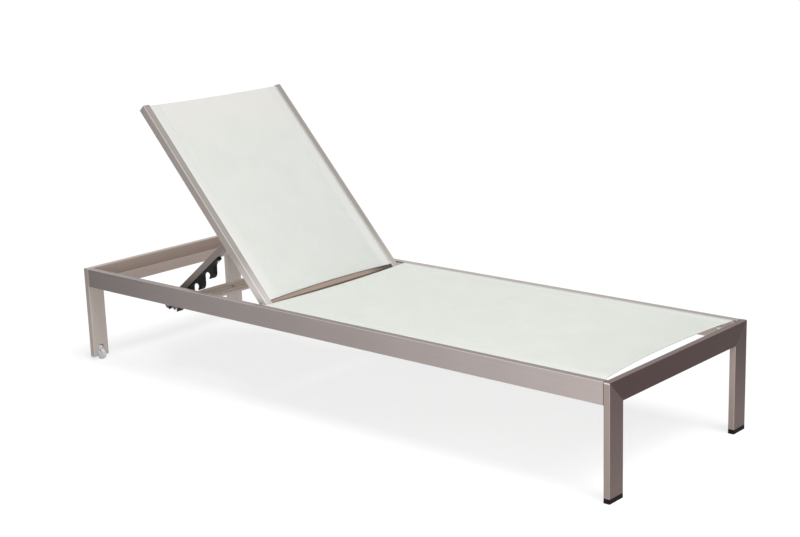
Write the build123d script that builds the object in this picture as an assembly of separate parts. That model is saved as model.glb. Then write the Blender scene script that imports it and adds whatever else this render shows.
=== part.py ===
from build123d import *
from math import atan2, cos, degrees, radians, sin, tan
import os

os.makedirs("parts", exist_ok=True)

# Sun lounger, millimetres. The foot end is at +X, the far side at +Y, the floor at Z = 0.
# The origin is on the floor under the middle of the frame.

# Overall sizes
overall_length = 1960
overall_width = 645
rail_top = 300

# Frame tubes: height of the flat tube, its thickness in the end frames and in the side rails
tube_height = 58
end_tube_thickness = 18
side_tube_thickness = 20
tube_wall = 1.8
tube_corner = 2

# Clearances
running_gap = 0.05
free_gap = 0.3
plug_gap = 0.2
overrun = 5

# Sling track along the inner top edge of a rail or stile
track_radius = 4.2
track_inset = 7
track_drop = 7
track_block = 12.4
track_mouth = 2.6
track_mouth_drop = 2.4
sling_thickness = 1.2
sling_grip = 2.4

# Seat sling: where its two bowed hems lie, at the track and at mid width, from the frame's end and the hinge
foot_hem_side_from_end = 30
foot_hem_middle_from_end = 51
head_hem_side_from_hinge = 18
head_hem_middle_from_hinge = 32.7
seat_spline_margin = 2

# Foot end
foot_cap_height = 12.5
cap_tongue = 20

# Head legs, their wheels and forks
head_leg_gap = 10
fork_cap_height = 3
fork_height = 38
fork_ear = 4
fork_ear_height = 18
wheel_radius = 16
wheel_width = 12
wheel_edge = 2.5
wheel_side_gap = 1
wheel_wall_gap = 0.7
axle_radius = 2.5
axle_margin = 0.5

# Ledge behind the head rail, with the flat backrest resting on its front flange
channel_height = 32.2
channel_depth = 48.5
channel_wall = 3

# Cross beams under the slings
beam_width = 30
beam_height = 25
mid_beam_from_hinge = 14
spreader_width = 25
spreader_height = 20
spreader_lift = 8
spreader_shares = [0.337, 0.704]

# Corner joints
bracket_length = 72
corner_bolt_from_foot = 72.6
corner_bolt_from_head = 82
corner_bolt_drop = 23.7
bolt_radius = 3
bolt_head_radius = 6
bolt_head_height = 3.5
washer_radius = 8
washer_height = 1.2
end_screw_length = 30

# Backrest: recline angle, hinge and stiles
recline_angle = 47.85
hinge_x = -206.7
stile_width = 23.2
stile_depth = 25.5
stile_length = 717
stile_side_gap = 20.7
stile_cap = 3
hinge_pin_radius = 5
hinge_bush_radius = 9
hinge_pin_grip = 8
back_tube_width = 22
back_tube_height = 16
back_top_tube_from_end = 39
back_low_tube_width = 30
back_low_tube_height = 20.5
back_low_tube_start = 0.8
back_hem_side = 10
back_hem_middle = 17
back_top_hem = 3
back_spline_start = 9

# Prop: angle below the horizontal, pivot on the stiles, arm and spreader
prop_angle = 38.2
pivot_along = 230.8
pivot_drop = 16.75
pivot_side_gap = 1.6
pivot_bolt_radius = 4
pivot_head_radius = 8
pivot_head_height = 3
pivot_reach = 6
pivot_washer_radius = 9.5
arm_depth = 20
arm_width = 18
arm_wall = 1.5
arm_length = 392
arm_cap = 3
bar_depth = 34
bar_width = 22
bar_corner = 3
bar_from_end = 3
bar_shift = 8.5
bar_hole_radius = 4
bar_hole_depth = 8
bar_rib_radius = 4
bar_rib_from_edge = 8

# Hook rack under each prop arm
rack_start = 84
rack_end_from_arm_end = 6
rack_back = 8
rack_width = 16
hook_count = 4
hook_pitch = 67.4
hook_start = 134.3
hook_width = 16
hook_depth = 32.1
hook_barb = 5
hook_barb_height = 9
hook_round = 20
hook_root_round = 15
pocket_drop = 9.4
pocket_angle = 18
pocket_round = 8.5
pocket_far_round = 11
rack_screw_radius = 2
rack_screw_head_radius = 4.5
rack_screw_head_height = 2.5
rack_screw_inset = 9

# Pegs on the side rails that the hooks rest on
peg_radius = 8
peg_edge = 1
peg_plate_length = 40
peg_plate_height = 34
peg_plate_thickness = 4
peg_plate_lift = 1.2
peg_screw_radius = 2.5
peg_screw_head_radius = 4.5
peg_screw_head_height = 2.5
peg_screw_spacing = 24
peg_screw_reach = 8
peg_screw_rise = 25

# Places worked out from the sizes above
half_length = overall_length / 2
half_width = overall_width / 2
seat_foot_hem_side = half_length - foot_hem_side_from_end
seat_foot_hem_middle = half_length - foot_hem_middle_from_end
seat_head_hem_side = hinge_x + head_hem_side_from_hinge
seat_head_hem_middle = hinge_x + head_hem_middle_from_hinge
rail_bottom = rail_top - tube_height
rail_end = half_length - end_tube_thickness
rail_inner = half_width - side_tube_thickness
leg_middle = half_width - tube_height / 2
hinge_z = rail_top - stile_depth / 2
stile_outer = rail_inner - stile_side_gap
stile_inner = stile_outer - stile_width
arm_outer = stile_inner - pivot_side_gap
arm_inner = arm_outer - arm_width
rack_end = arm_length - rack_end_from_arm_end
spline_radius = track_radius - free_gap
slope = Vector(-cos(radians(recline_angle)), 0, sin(radians(recline_angle)))
facing = Vector(sin(radians(recline_angle)), 0, cos(radians(recline_angle)))
hinge = Vector(hinge_x, 0, hinge_z)
prop_down = Vector(-cos(radians(prop_angle)), 0, -sin(radians(prop_angle)))
prop_under = Vector(sin(radians(prop_angle)), 0, -cos(radians(prop_angle)))


def on_back(along, drop, y=0):
    """A point along the stiles from the hinge, and so far behind their front face."""
    return hinge + slope * along + facing * (stile_depth / 2 - drop) + Vector(0, y, 0)


pivot = on_back(pivot_along, pivot_drop)


def on_prop(along, under, y=0):
    """A point along the prop from its pivot, and so far below its centre line."""
    return pivot + prop_down * along + prop_under * under + Vector(0, y, 0)


def block(x_low, x_high, y_low, y_high, z_low, z_high):
    size = Vector(x_high - x_low, y_high - y_low, z_high - z_low)
    middle = Vector(x_low + x_high, y_low + y_high, z_low + z_high) / 2
    return Pos(middle) * Box(size.X, size.Y, size.Z)


def rod(start, end, radius):
    along = end - start
    return extrude(Plane(origin=start, z_dir=along) * Circle(radius), amount=along.length)


def prism(points, direction):
    """A flat polygon pushed out along a vector."""
    face = Face(Wire.make_polygon(points, close=True))
    return extrude(face, amount=direction.length, dir=direction.normalized())


def box_tube(start, end, across, width, depth, wall, corner):
    """A rectangular tube from start to end, its width measured along across."""
    along = end - start
    section = RectangleRounded(width, depth, corner) - Rectangle(width - 2 * wall, depth - 2 * wall)
    plane = Plane(origin=start, x_dir=across, z_dir=along)
    return extrude(plane * section, amount=along.length)


def far(shape):
    """The far side's copy of a near side piece."""
    return mirror(shape, about=Plane.XZ)


def pair(shape):
    return Compound([shape, far(shape)])


def save(name, shape):
    export_step(shape, "parts/" + name + ".step")


def track_section(width, height):
    """A tube with a sling track: x runs outwards from the inner face, y is 0 at the top face."""
    outer = Pos(width / 2, -height / 2) * RectangleRounded(width, height, tube_corner)
    hollow_height = height - tube_wall - track_block
    hollow = Pos(width / 2, tube_wall + hollow_height / 2 - height)
    hollow = hollow * Rectangle(width - 2 * tube_wall, hollow_height)
    bore = Pos(track_inset, -track_drop) * Circle(track_radius)
    mouth = Pos(0, -track_mouth_drop) * Rectangle(2 * track_inset, track_mouth)
    return outer - hollow - bore - mouth


def end_frame_rail(side):
    """The cross rail of an end frame, mitred at 45 degrees over its legs."""
    outer_face = side * half_length
    middle = outer_face - side * end_tube_thickness / 2
    height = rail_top - tube_height / 2
    tube = box_tube(Vector(middle, -half_width, height), Vector(middle, half_width, height),
                    Vector(0, 0, 1), tube_height, end_tube_thickness, tube_wall, tube_corner)
    reach = half_width - tube_height
    points = [(-half_width, rail_top), (half_width, rail_top), (reach, rail_bottom), (-reach, rail_bottom)]
    return tube & mitre_prism(outer_face, side, points)


def mitre_prism(outer_face, side, points):
    start = outer_face + side * overrun
    corners = [Vector(start, y, z) for y, z in points]
    return prism(corners, Vector(-side * (end_tube_thickness + 2 * overrun), 0, 0))


def end_frame_leg(side, bottom):
    """The near leg of an end frame, down to the given height."""
    outer_face = side * half_length
    middle = outer_face - side * end_tube_thickness / 2
    tube = box_tube(Vector(middle, -leg_middle, bottom), Vector(middle, -leg_middle, rail_top),
                    Vector(0, 1, 0), tube_height, end_tube_thickness, tube_wall, tube_corner)
    reach = half_width - tube_height
    points = [(-half_width, bottom), (-half_width, rail_top), (-reach, rail_bottom), (-reach, bottom)]
    leg = tube & mitre_prism(outer_face, side, points)
    return leg - end_screw(side, bolt_radius + plug_gap)


def end_screw(side, radius):
    """A screw along X from inside a leg into the corner bracket in the side rail."""
    height = bracket_middle_z()
    y = -half_width + side_tube_thickness / 2
    inside = rail_end + tube_wall
    return rod(Vector(side * inside, y, height), Vector(side * (inside - end_screw_length), y, height), radius)


def bracket_middle_z():
    return (rail_bottom + tube_wall + rail_top - track_block) / 2


def side_rail():
    plane = Plane(origin=(rail_end, -rail_inner, rail_top), x_dir=(0, -1, 0), z_dir=(-1, 0, 0))
    rail = extrude(plane * track_section(side_tube_thickness, tube_height), amount=2 * rail_end)
    for side in (-1, 1):
        rail -= corner_bolt_shank(side, bolt_radius + plug_gap)
    for screw in peg_screw_shanks(peg_screw_radius + running_gap):
        rail -= screw
    return rail - hinge_pin(hinge_pin_radius + running_gap)


def corner_bracket(side):
    """A block inside the end of the side rail, flush with the rail's cut end."""
    y_low = -half_width + tube_wall + plug_gap
    y_high = -rail_inner - tube_wall - plug_gap
    x_edges = sorted([side * rail_end, side * (rail_end - bracket_length)])
    z_low = rail_bottom + tube_wall + plug_gap
    z_high = rail_top - track_block - plug_gap
    piece = block(x_edges[0], x_edges[1], y_low, y_high, z_low, z_high)
    piece -= corner_bolt_shank(side, bolt_radius + running_gap)
    return piece - end_screw(side, bolt_radius + running_gap)


def corner_bolt_point(side, y):
    from_end = corner_bolt_from_foot if side > 0 else corner_bolt_from_head
    return Vector(side * (half_length - from_end), y, rail_top - corner_bolt_drop)


def corner_bolt_shank(side, radius):
    start = corner_bolt_point(side, -rail_inner)
    end = corner_bolt_point(side, -half_width + tube_wall + plug_gap + running_gap)
    return rod(start, end, radius)


def corner_bolt(side):
    seat = -rail_inner + washer_height
    head = rod(corner_bolt_point(side, seat), corner_bolt_point(side, seat + bolt_head_height), bolt_head_radius)
    head = fillet(head.edges().filter_by(GeomType.CIRCLE).sort_by(Axis.Y)[-1], bolt_head_height / 2)
    neck = rod(corner_bolt_point(side, -rail_inner), corner_bolt_point(side, seat), bolt_radius)
    return head + neck + corner_bolt_shank(side, bolt_radius)


def corner_washer(side):
    start = corner_bolt_point(side, -rail_inner)
    end = corner_bolt_point(side, -rail_inner + washer_height)
    return rod(start, end, washer_radius) - rod(start, end, bolt_radius + running_gap)


def end_screw_with_head(side):
    height = bracket_middle_z()
    y = -half_width + side_tube_thickness / 2
    inside = rail_end + tube_wall
    head = rod(Vector(side * inside, y, height), Vector(side * (inside + bolt_head_height), y, height),
               bolt_head_radius)
    return head + end_screw(side, bolt_radius)


def leg_plug(side, low, seat, high):
    """A cap as wide as the leg from low to seat, with a tongue inside the tube up to high."""
    x_edges = sorted([side * half_length, side * rail_end])
    y_low = -half_width
    y_high = -half_width + tube_height
    inset = tube_wall + plug_gap
    cap = block(x_edges[0], x_edges[1], y_low, y_high, low, seat)
    cap = fillet(cap.edges().filter_by(Axis.Z), tube_corner)
    tongue = block(x_edges[0] + inset, x_edges[1] - inset, y_low + inset, y_high - inset, seat, high)
    return cap + tongue


# Head end: the wheel stands partly in a fork that plugs the leg
head_leg_bottom = head_leg_gap + fork_cap_height
fork_top = head_leg_gap + fork_height
wheel_x = -half_length + tube_wall + wheel_wall_gap + wheel_radius
fork_slot_half = wheel_width / 2 + wheel_side_gap
fork_half = fork_slot_half + fork_ear


def head_leg():
    window = block(-half_length + tube_wall, -rail_end + overrun, -leg_middle - fork_half - plug_gap,
                   -leg_middle + fork_half + plug_gap, 0, fork_top + plug_gap)
    return end_frame_leg(-1, head_leg_bottom) - window


def wheel_fork():
    piece = leg_plug(-1, head_leg_gap, head_leg_bottom, fork_top)
    ear_reach = wheel_x + fork_ear + axle_radius
    piece += block(-rail_end - tube_wall - plug_gap, -rail_end, -leg_middle - fork_half, -leg_middle + fork_half,
                   head_leg_gap, fork_top)
    piece += block(-rail_end, wheel_x, -leg_middle - fork_half, -leg_middle + fork_half,
                   head_leg_gap, head_leg_gap + fork_ear_height)
    piece += rod(Vector(wheel_x, -leg_middle - fork_half, wheel_radius),
                 Vector(wheel_x, -leg_middle + fork_half, wheel_radius), ear_reach - wheel_x)
    piece -= block(-half_length, wheel_x + 2 * wheel_radius, -leg_middle - fork_slot_half,
                   -leg_middle + fork_slot_half, 0, 2 * wheel_radius + wheel_side_gap)
    return piece - axle(axle_radius + running_gap, fork_half + overrun)


def axle(radius, reach):
    start = Vector(wheel_x, -leg_middle - reach, wheel_radius)
    end = Vector(wheel_x, -leg_middle + reach, wheel_radius)
    return rod(start, end, radius)


def wheel():
    start = Vector(wheel_x, -leg_middle - wheel_width / 2, wheel_radius)
    end = Vector(wheel_x, -leg_middle + wheel_width / 2, wheel_radius)
    disc = rod(start, end, wheel_radius)
    disc = fillet(disc.edges().filter_by(GeomType.CIRCLE), wheel_edge)
    return disc - rod(start, end, axle_radius + running_gap)


def head_channel():
    """An angle between the side rails. The head rail closes its back, so that the two make a channel."""
    back = -rail_end
    front = -rail_end + channel_depth
    top = rail_bottom + channel_height
    floor = rail_bottom + channel_wall
    points = [(back, rail_bottom), (front, rail_bottom), (front, top), (front - channel_wall, top),
              (front - channel_wall, floor), (back, floor)]
    return prism([Vector(x, -rail_inner, z) for x, z in points], Vector(0, 2 * rail_inner, 0))


def cross_beam(x_middle, width, height, bottom):
    start = Vector(x_middle, -rail_inner, bottom + height / 2)
    end = Vector(x_middle, rail_inner, bottom + height / 2)
    return box_tube(start, end, Vector(1, 0, 0), width, height, tube_wall, tube_corner)


def sling(corner_low, corner_high, bow_low, bow_high, up):
    """A sheet between two tracks. Both ends are hems bowed through their middle points."""
    far_low = Vector(corner_low.X, -corner_low.Y, corner_low.Z)
    far_high = Vector(corner_high.X, -corner_high.Y, corner_high.Z)
    edges = [ThreePointArc(corner_low, bow_low, far_low), Line(far_low, far_high),
             ThreePointArc(far_high, bow_high, corner_high), Line(corner_high, corner_low)]
    return extrude(Face(Wire(edges)), amount=sling_thickness, dir=up)


def seat_sling():
    z = rail_top - track_mouth_drop - sling_thickness / 2
    y = -rail_inner - sling_grip
    return sling(Vector(seat_head_hem_side, y, z), Vector(seat_foot_hem_side, y, z),
                 Vector(seat_head_hem_middle, 0, z), Vector(seat_foot_hem_middle, 0, z), Vector(0, 0, 1))


def seat_spline():
    y = -rail_inner - track_inset
    z = rail_top - track_drop
    return rod(Vector(seat_head_hem_side + seat_spline_margin, y, z),
               Vector(seat_foot_hem_side - seat_spline_margin, y, z), spline_radius)


def hinge_pin(radius):
    """A pin held in the side rail, through the stile to just short of its inner face."""
    outer = -rail_inner - hinge_pin_grip
    return rod(hinge + Vector(0, outer, 0), hinge + Vector(0, -stile_inner - free_gap, 0), radius)


def hinge_bush():
    start = hinge + Vector(0, -rail_inner, 0)
    end = hinge + Vector(0, -stile_outer - free_gap, 0)
    return rod(start, end, hinge_bush_radius) - rod(start, end, hinge_pin_radius + running_gap)


def back_stile():
    """A stile with its foot rounded about the hinge, open at the top for its cap."""
    foot = on_back(-stile_depth / 2, 0, -stile_inner)
    plane = Plane(origin=foot, x_dir=(0, -1, 0), z_dir=slope)
    tube_length = stile_length - stile_cap + stile_depth / 2
    tube = extrude(plane * track_section(stile_width, stile_depth), amount=tube_length)
    y_low = -stile_outer - overrun
    y_high = -stile_inner + overrun
    round_foot = rod(hinge + Vector(0, y_low, 0), hinge + Vector(0, y_high, 0), stile_depth / 2)
    corners = [on_back(0, -overrun, y_low), on_back(stile_length, -overrun, y_low),
               on_back(stile_length, stile_depth + overrun, y_low), on_back(0, stile_depth + overrun, y_low)]
    straight = prism(corners, Vector(0, y_high - y_low, 0))
    tube = tube & (round_foot + straight)
    tube -= rod(hinge + Vector(0, y_low, 0), hinge + Vector(0, y_high, 0), hinge_pin_radius + running_gap)
    return tube - pivot_shank(pivot_bolt_radius + running_gap)


def stile_cap_plug():
    """The plug in the top end of a stile, with a tongue in the tube's hollow."""
    plane = Plane(origin=on_back(stile_length, stile_depth / 2, -(stile_outer + stile_inner) / 2),
                  x_dir=(0, -1, 0), z_dir=-slope)
    cap = extrude(plane * RectangleRounded(stile_width, stile_depth, tube_corner), amount=stile_cap)
    hollow_height = stile_depth - tube_wall - track_block
    middle_drop = track_block + hollow_height / 2
    inner_plane = Plane(origin=on_back(stile_length - stile_cap, middle_drop, -(stile_outer + stile_inner) / 2),
                        x_dir=(0, -1, 0), z_dir=-slope)
    tongue = Rectangle(stile_width - 2 * tube_wall - 2 * plug_gap, hollow_height - 2 * plug_gap)
    return cap + extrude(inner_plane * tongue, amount=cap_tongue)


def back_cross_tube(along, width, height):
    """A tube between the stiles, flush with their rear faces."""
    drop = stile_depth - height / 2
    return box_tube(on_back(along, drop, -stile_inner), on_back(along, drop, stile_inner),
                    slope, width, height, tube_wall, tube_corner)


def back_sling():
    drop = track_mouth_drop + sling_thickness / 2
    y = -stile_inner - sling_grip
    top = stile_length - back_top_hem
    return sling(on_back(back_hem_side, drop, y), on_back(top, drop, y),
                 on_back(back_hem_middle, drop), on_back(top - back_top_hem, drop), facing)


def back_spline():
    y = -stile_inner - track_inset
    return rod(on_back(back_spline_start, track_drop, y),
               on_back(stile_length - stile_cap - seat_spline_margin, track_drop, y), spline_radius)


def pivot_shank(radius):
    start = pivot + Vector(0, -stile_inner - pivot_reach, 0)
    end = pivot + Vector(0, -arm_inner + free_gap, 0)
    return rod(start, end, radius)


def pivot_bolt():
    seat = -arm_inner + free_gap
    head = rod(pivot + Vector(0, seat, 0), pivot + Vector(0, seat + pivot_head_height, 0), pivot_head_radius)
    return pivot_shank(pivot_bolt_radius) + head


def pivot_washer():
    start = pivot + Vector(0, -stile_inner, 0)
    end = pivot + Vector(0, -arm_outer - free_gap, 0)
    return rod(start, end, pivot_washer_radius) - rod(start, end, pivot_bolt_radius + running_gap)


def prop_arm():
    """A flat tube whose upper end is rounded about the pivot."""
    y_middle = -(arm_outer + arm_inner) / 2
    tube = box_tube(on_prop(-arm_depth / 2, 0, y_middle), on_prop(arm_length - arm_cap, 0, y_middle),
                    prop_under, arm_depth, arm_width, arm_wall, arm_wall)
    y_low = -arm_outer - overrun
    y_high = -arm_inner + overrun
    round_end = rod(pivot + Vector(0, y_low, 0), pivot + Vector(0, y_high, 0), arm_depth / 2)
    corners = [on_prop(0, -arm_depth, y_low), on_prop(arm_length, -arm_depth, y_low),
               on_prop(arm_length, arm_depth, y_low), on_prop(0, arm_depth, y_low)]
    tube = tube & (round_end + prism(corners, Vector(0, y_high - y_low, 0)))
    tube -= pivot_shank(pivot_bolt_radius + running_gap)
    for along in rack_screw_places():
        tube -= rack_screw_shank(along, rack_screw_radius + running_gap)
    return tube


def prop_end_cap():
    y_middle = -(arm_outer + arm_inner) / 2
    plane = Plane(origin=on_prop(arm_length - arm_cap, 0, y_middle), x_dir=prop_under, z_dir=prop_down)
    cap = extrude(plane * RectangleRounded(arm_depth, arm_width, arm_wall), amount=arm_cap)
    inset = 2 * arm_wall + 2 * plug_gap
    tongue = extrude(plane * Rectangle(arm_depth - inset, arm_width - inset), amount=-arm_cap)
    return cap + tongue


def prop_spreader():
    """The bar between the lower ends of the arms, ribbed and with one hole at its middle."""
    along = arm_length - bar_from_end - bar_width / 2
    bar = box_tube(on_prop(along, bar_shift, -arm_inner), on_prop(along, bar_shift, arm_inner),
                   prop_under, bar_depth, bar_width, tube_wall, bar_corner)
    front = along - bar_width / 2
    for under in (bar_shift - bar_depth / 2 + bar_rib_from_edge, bar_shift + bar_depth / 2 - bar_rib_from_edge):
        bar += rod(on_prop(front, under, -arm_inner), on_prop(front, under, arm_inner), bar_rib_radius)
    inside = bar_width / 2 - tube_wall
    hollow_start = on_prop(along, bar_shift, -arm_inner)
    plane = Plane(origin=hollow_start, x_dir=prop_under, z_dir=(0, 1, 0))
    hollow = extrude(plane * Rectangle(bar_depth - 2 * tube_wall, 2 * inside), amount=2 * arm_inner)
    bar -= hollow
    return bar - rod(on_prop(front - bar_rib_radius, bar_shift), on_prop(front + bar_hole_depth, bar_shift),
                     bar_hole_radius)


def hook_corner(index):
    """Where a hook's inner wall meets the line of the bar's lower face."""
    return on_prop(hook_start + index * hook_pitch, arm_depth / 2 + rack_back)


def hook_points(index):
    """One hook's corners with their roundings. At rest its walls stand upright, so down is the room's -Z."""
    if index == 0:
        root = (hook_width, hook_width * prop_down.Z / prop_down.X, hook_root_round)
    else:
        reach = hook_pitch * -prop_down.X - hook_width
        climb = reach * tan(radians(pocket_angle))
        root = (hook_width, hook_pitch * -prop_down.Z - pocket_drop - climb, pocket_far_round)
    points = [root, (hook_width, -hook_depth, hook_round), (-hook_barb, -hook_depth, 0),
              (0, hook_barb_height - hook_depth, 0), (0, -pocket_drop, pocket_round)]
    if index == hook_count - 1:
        mouth = pocket_drop / (prop_down.Z / prop_down.X - tan(radians(pocket_angle)))
        points.append((-mouth, -mouth * prop_down.Z / prop_down.X, 0))
    corner = hook_corner(index) + Vector(0, -arm_outer, 0)
    return [(corner + Vector(across, 0, up), rounding) for across, up, rounding in points]


def hook_rack():
    """The rack's back bar and its hooks, which open downwards."""
    y = -arm_outer
    top = arm_depth / 2
    corners = [(on_prop(rack_end, top, y), 0), (on_prop(rack_start, top, y), 0),
               (on_prop(rack_start, top + rack_back, y), 0)]
    for index in range(hook_count):
        corners += hook_points(index)
    corners.append((on_prop(rack_end, top + rack_back, y), 0))
    outline = Face(Wire.make_polygon([point for point, rounding in corners], close=True))
    for point, rounding in corners:
        if rounding > 0:
            outline = outline.fillet_2d(rounding, outline.vertices().sort_by_distance(point)[:1])
    rack = extrude(outline, amount=rack_width, dir=(0, 1, 0))
    for along in rack_screw_places():
        rack -= rack_screw_shank(along, rack_screw_radius + plug_gap)
    return rack


def rack_screw_places():
    return [rack_start + rack_screw_inset, rack_end - rack_screw_inset]


def rack_screw_shank(along, radius):
    y = -arm_outer + rack_width / 2
    start = on_prop(along, arm_depth / 2 - arm_wall - rack_screw_head_height, y)
    end = on_prop(along, arm_depth / 2 + rack_back, y)
    return rod(start, end, radius)


def rack_screw(along):
    y = -arm_outer + rack_width / 2
    seat = arm_depth / 2 + rack_back
    head = rod(on_prop(along, seat, y), on_prop(along, seat + rack_screw_head_height, y), rack_screw_head_radius)
    return rack_screw_shank(along, rack_screw_radius) + head


def peg_centre():
    """The peg lies in the third hook's pocket, clear of the inner wall and of the pocket's top."""
    reach = peg_radius + free_gap
    top = hook_corner(2).Z - pocket_drop - reach * tan(radians(pocket_angle))
    return Vector(hook_corner(2).X - reach, 0, top - reach / cos(radians(pocket_angle)))


peg = peg_centre()


def hook_peg():
    """A peg with its plate on the side rail. Its end stops just short of the rack's outer face."""
    start = Vector(peg.X, -rail_inner, peg.Z)
    end = Vector(peg.X, -arm_outer - free_gap, peg.Z)
    pin = rod(start, end, peg_radius)
    pin = chamfer(pin.edges().filter_by(GeomType.CIRCLE).sort_by(Axis.Y)[-1], peg_edge)
    low = rail_bottom + peg_plate_lift
    plate = block(peg.X - peg_plate_length / 2, peg.X + peg_plate_length / 2, -rail_inner,
                  -rail_inner + peg_plate_thickness, low, low + peg_plate_height)
    plate = fillet(plate.edges().filter_by(Axis.Y), peg_plate_thickness)
    piece = plate + pin
    for shank in peg_screw_shanks(peg_screw_radius + plug_gap):
        piece -= shank
    return piece


def peg_screw_points(y):
    height = rail_bottom + peg_plate_lift + peg_screw_rise
    return [Vector(peg.X + side * peg_screw_spacing / 2, y, height) for side in (-1, 1)]


def peg_screw_shanks(radius):
    outer = peg_screw_points(-rail_inner - peg_screw_reach)
    inner = peg_screw_points(-rail_inner + peg_plate_thickness)
    return [rod(start, end, radius) for start, end in zip(outer, inner)]


def peg_screws():
    seats = peg_screw_points(-rail_inner + peg_plate_thickness)
    tops = peg_screw_points(-rail_inner + peg_plate_thickness + peg_screw_head_height)
    heads = [rod(seat, top, peg_screw_head_radius) for seat, top in zip(seats, tops)]
    shanks = peg_screw_shanks(peg_screw_radius)
    return [shank + head for shank, head in zip(shanks, heads)]


def frame_pieces():
    near_head_leg = head_leg()
    near_foot_leg = end_frame_leg(1, foot_cap_height)
    near_rail = side_rail()
    save("head_end_rail", end_frame_rail(-1))
    save("foot_end_rail", end_frame_rail(1))
    save("head_leg_near", near_head_leg)
    save("head_leg_far", far(near_head_leg))
    save("foot_leg_near", near_foot_leg)
    save("foot_leg_far", far(near_foot_leg))
    save("side_rail_near", near_rail)
    save("side_rail_far", far(near_rail))
    save("foot_caps", pair(leg_plug(1, 0, foot_cap_height, foot_cap_height + cap_tongue)))
    save("head_channel", head_channel())
    save("mid_cross_beam", cross_beam(hinge_x - mid_beam_from_hinge, beam_width, beam_height, rail_bottom))
    for number, share in enumerate(spreader_shares):
        place = share * half_length
        beam = cross_beam(place, spreader_width, spreader_height, rail_bottom + spreader_lift)
        save("seat_spreader_" + str(number + 1), beam)


def joint_pieces():
    corners = [far(corner_bracket(side)) for side in (-1, 1)] + [corner_bracket(side) for side in (-1, 1)]
    save("corner_brackets", Compound(corners))
    save("corner_bolts", Compound([far(corner_bolt(side)) for side in (-1, 1)] + [corner_bolt(-1), corner_bolt(1)]))
    save("corner_washers", Compound([far(corner_washer(-1)), far(corner_washer(1)), corner_washer(-1),
                                     corner_washer(1)]))
    save("end_frame_screws", Compound([far(end_screw_with_head(-1)), far(end_screw_with_head(1)),
                                       end_screw_with_head(-1), end_screw_with_head(1)]))
    save("hinge_pins", pair(hinge_pin(hinge_pin_radius)))
    save("hinge_bushes", pair(hinge_bush()))
    near_peg = hook_peg()
    save("hook_peg_near", near_peg)
    save("hook_peg_far", far(near_peg))
    screws = peg_screws()
    save("peg_screws", Compound(screws + [far(screw) for screw in screws]))


def wheel_pieces():
    near_fork = wheel_fork()
    near_wheel = wheel()
    save("wheel_fork_near", near_fork)
    save("wheel_fork_far", far(near_fork))
    save("wheel_axles", pair(axle(axle_radius, fork_half - axle_margin)))
    save("wheel_near", near_wheel)
    save("wheel_far", far(near_wheel))


def seat_pieces():
    save("seat_sling", seat_sling())
    save("seat_splines", pair(seat_spline()))


def backrest_pieces():
    near_stile = back_stile()
    save("back_stile_near", near_stile)
    save("back_stile_far", far(near_stile))
    top_along = stile_length - back_top_tube_from_end
    low_along = back_low_tube_start + back_low_tube_width / 2
    save("back_top_tube", back_cross_tube(top_along, back_tube_width, back_tube_height))
    save("back_low_tube", back_cross_tube(low_along, back_low_tube_width, back_low_tube_height))
    save("back_sling", back_sling())
    save("back_splines", pair(back_spline()))
    save("stile_caps", pair(stile_cap_plug()))
    save("pivot_bolts", pair(pivot_bolt()))
    save("pivot_washers", pair(pivot_washer()))


def prop_pieces():
    near_arm = prop_arm()
    near_rack = hook_rack()
    screws = [rack_screw(along) for along in rack_screw_places()]
    save("prop_arm_near", near_arm)
    save("prop_arm_far", far(near_arm))
    save("prop_spreader", prop_spreader())
    save("prop_end_caps", pair(prop_end_cap()))
    save("hook_rack_near", near_rack)
    save("hook_rack_far", far(near_rack))
    save("rack_screws", Compound(screws + [far(screw) for screw in screws]))


frame_pieces()
joint_pieces()
wheel_pieces()
seat_pieces()
backrest_pieces()
prop_pieces()

flat_angle = degrees(atan2(slope.Z, -slope.X))
print("hinge", hinge, "pivot", pivot, "peg", peg)
print("lowering to flat", flat_angle, "prop folds by", flat_angle + prop_angle)
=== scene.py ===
from math import cos, pi, radians, sin

import bmesh
import bpy
from mathutils import Matrix, Vector


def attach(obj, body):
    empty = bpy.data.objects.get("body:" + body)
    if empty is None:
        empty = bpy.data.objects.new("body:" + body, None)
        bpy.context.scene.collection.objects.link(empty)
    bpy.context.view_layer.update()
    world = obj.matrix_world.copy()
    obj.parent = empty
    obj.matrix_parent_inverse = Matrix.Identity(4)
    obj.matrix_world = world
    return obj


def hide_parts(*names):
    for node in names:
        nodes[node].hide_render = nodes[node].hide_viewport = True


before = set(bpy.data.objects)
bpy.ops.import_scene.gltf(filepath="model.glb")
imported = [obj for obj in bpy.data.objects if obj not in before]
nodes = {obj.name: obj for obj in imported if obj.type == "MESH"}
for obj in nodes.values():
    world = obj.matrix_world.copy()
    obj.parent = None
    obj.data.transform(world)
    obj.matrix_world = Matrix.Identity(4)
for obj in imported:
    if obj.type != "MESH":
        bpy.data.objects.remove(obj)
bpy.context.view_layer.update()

# Sizes in metres, as the solids have them
RAIL_TOP = 0.3
HALF_WIDTH = 0.3225
RAIL_INNER = 0.3025
STILE_INNER = 0.2586
STILE_DEPTH = 0.0255
STILE_LENGTH = 0.717
RECLINE = radians(47.85)
PROP_SLOPE = radians(38.2)
HINGE = Vector((-0.2067, 0, RAIL_TOP - STILE_DEPTH / 2))
SLOPE = Vector((-cos(RECLINE), 0, sin(RECLINE)))
FACING = Vector((sin(RECLINE), 0, cos(RECLINE)))
TRACK_MOUTH = 0.0024
WHEEL_MIDDLE = (-0.9615, 0.2935, 0.016)
WHEEL_RADIUS = 0.016
WHEEL_WIDTH = 0.012
BOLT_HEAD_TOP = 0.2978
BOLT_PLACES = ((0.9074, 0.2763), (-0.898, 0.2763))
LEG_FACE = -0.962

# The cloth and its folded hems
CLOTH = 0.0009
FOLD = 0.00065
HEM = 0.03
GRIP = 0.0024
SEAT_SAG = 0.003
BACK_SAG = 0.0015

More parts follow.
